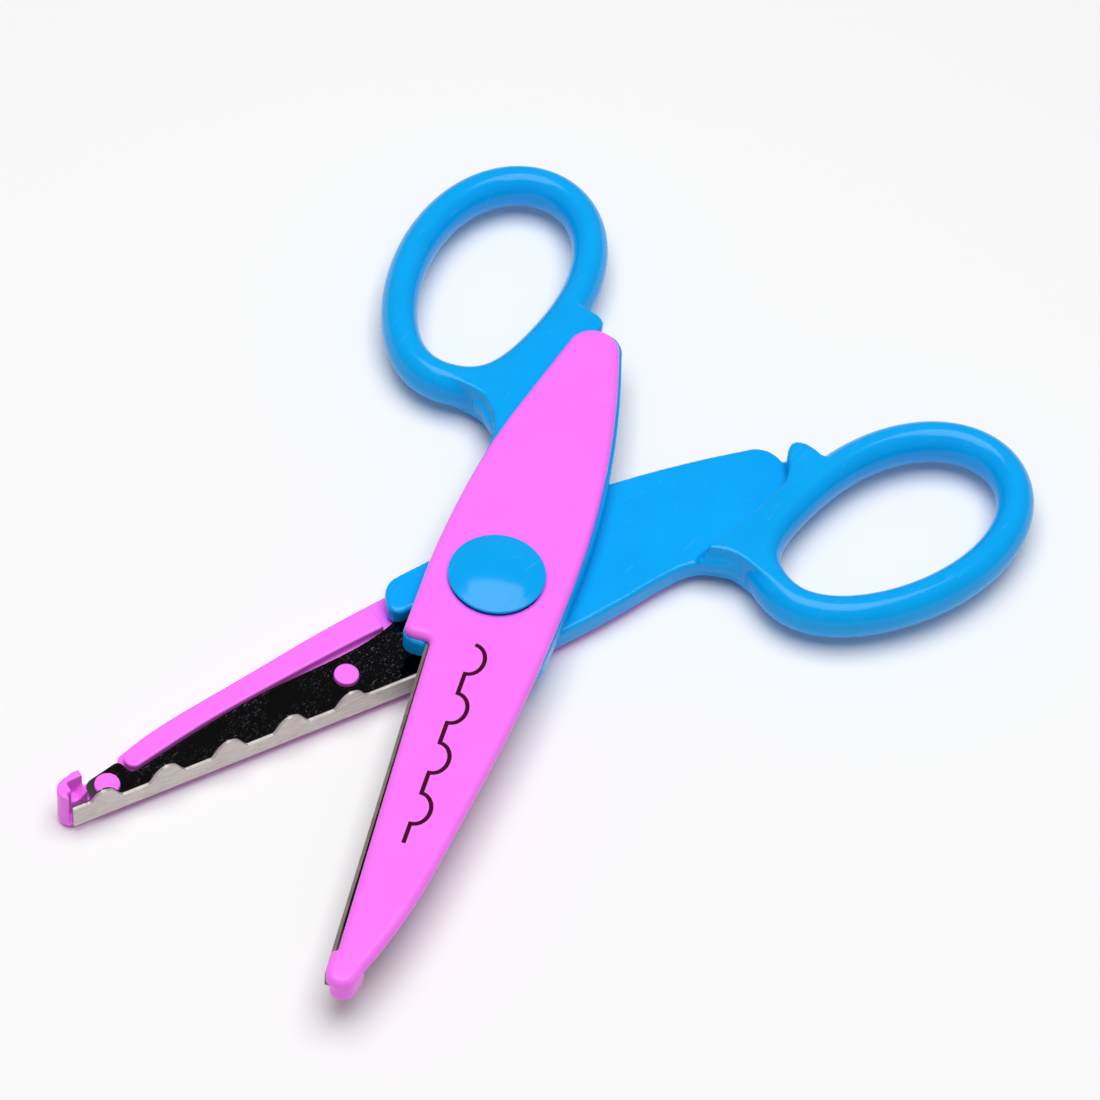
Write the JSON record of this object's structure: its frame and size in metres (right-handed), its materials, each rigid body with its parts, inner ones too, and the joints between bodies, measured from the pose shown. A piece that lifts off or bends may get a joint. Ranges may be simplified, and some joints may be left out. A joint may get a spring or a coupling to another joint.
{
  "type": "decorative edge scissors",
  "caption": "Craft scissors with wavy cutting flanges, moulded finger loops and covers, and a domed pivot cap, lying open.",
  "frame": {"origin": "on the pivot axis, at the outer face of the lower half, which the scissors lie on", "axes": "+Z along the pivot axis, up from the surface that the scissors lie on; +X along the middle of the opening, towards the tips; at rest the halves are 42.84 degrees apart"},
  "size_m": [0.1186, 0.0918, 0.0109],
  "materials": {
    "blue_plastic": "glossy moulded",
    "pink_plastic": "glossy moulded",
    "blade_steel": "polished plate, fine-ground flange",
    "rivet_steel": "plain turned",
    "printed_line": "printed ink"
  },
  "bodies": {
    "lower_half": {"lower_handle": "blue_plastic", "lower_cover": "pink_plastic", "lower_blade": "blade_steel", "base_cap": "blue_plastic", "pivot_rivet": "rivet_steel", "pivot_washer": "rivet_steel"},
    "upper_half": {"upper_handle": "blue_plastic", "upper_cover": "pink_plastic", "upper_blade": "blade_steel", "pivot_cap": "blue_plastic"}
  },
  "joints": [
    {"name": "pivot", "type": "hinge", "parent": "lower_half", "child": "upper_half", "pos_m": [0, 0, 0.0045], "axis": [0, 0, 1], "range_deg": [-37.4, 40]}
  ]
}
